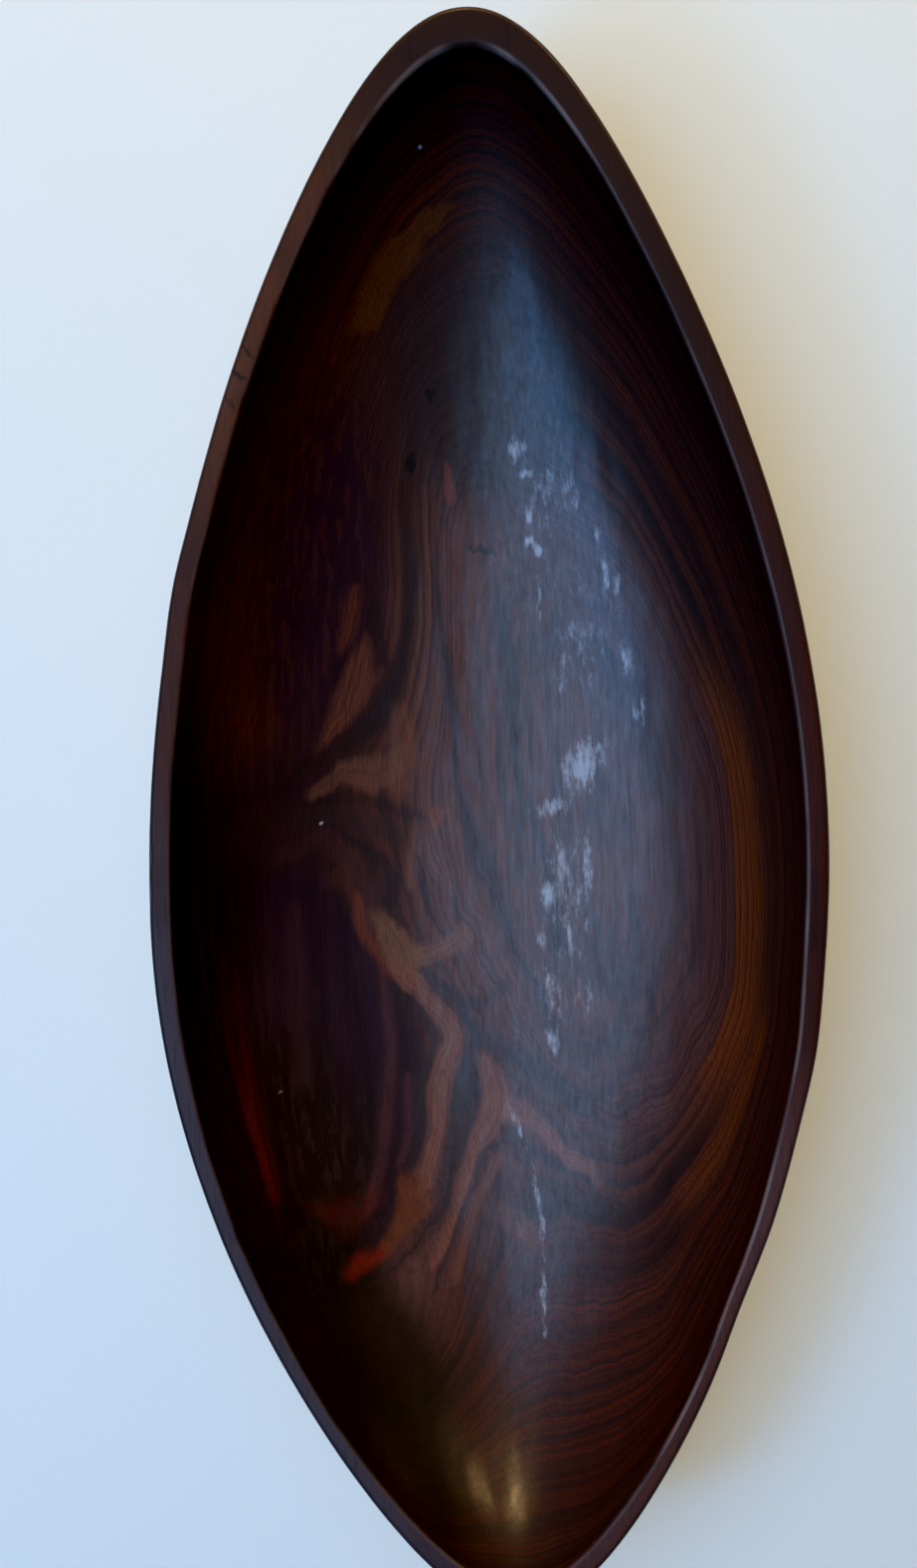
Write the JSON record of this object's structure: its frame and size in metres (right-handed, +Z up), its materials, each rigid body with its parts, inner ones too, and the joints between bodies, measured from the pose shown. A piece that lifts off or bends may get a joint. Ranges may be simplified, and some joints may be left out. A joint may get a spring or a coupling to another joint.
{
  "type": "canoe bowl",
  "caption": "Long boat-shaped wooden bowl with narrow rounded ends, a flat-topped rim that rises towards the ends, a smooth deep hollow and a planed flat foot.",
  "frame": {"origin": "on the surface that the bowl stands on, under the middle of its length and breadth", "axes": "+Z up out of the mouth, +Y along the keel to the end with the thicker rim, +X to the right-hand side"},
  "size_m": [0.2026, 0.472, 0.0859],
  "materials": {
    "oiled_wood": "satin oil over dark reddish-brown wood with a strong, nearly black figure"
  },
  "bodies": {
    "root": {"bowl": "oiled_wood"}
  },
  "joints": []
}
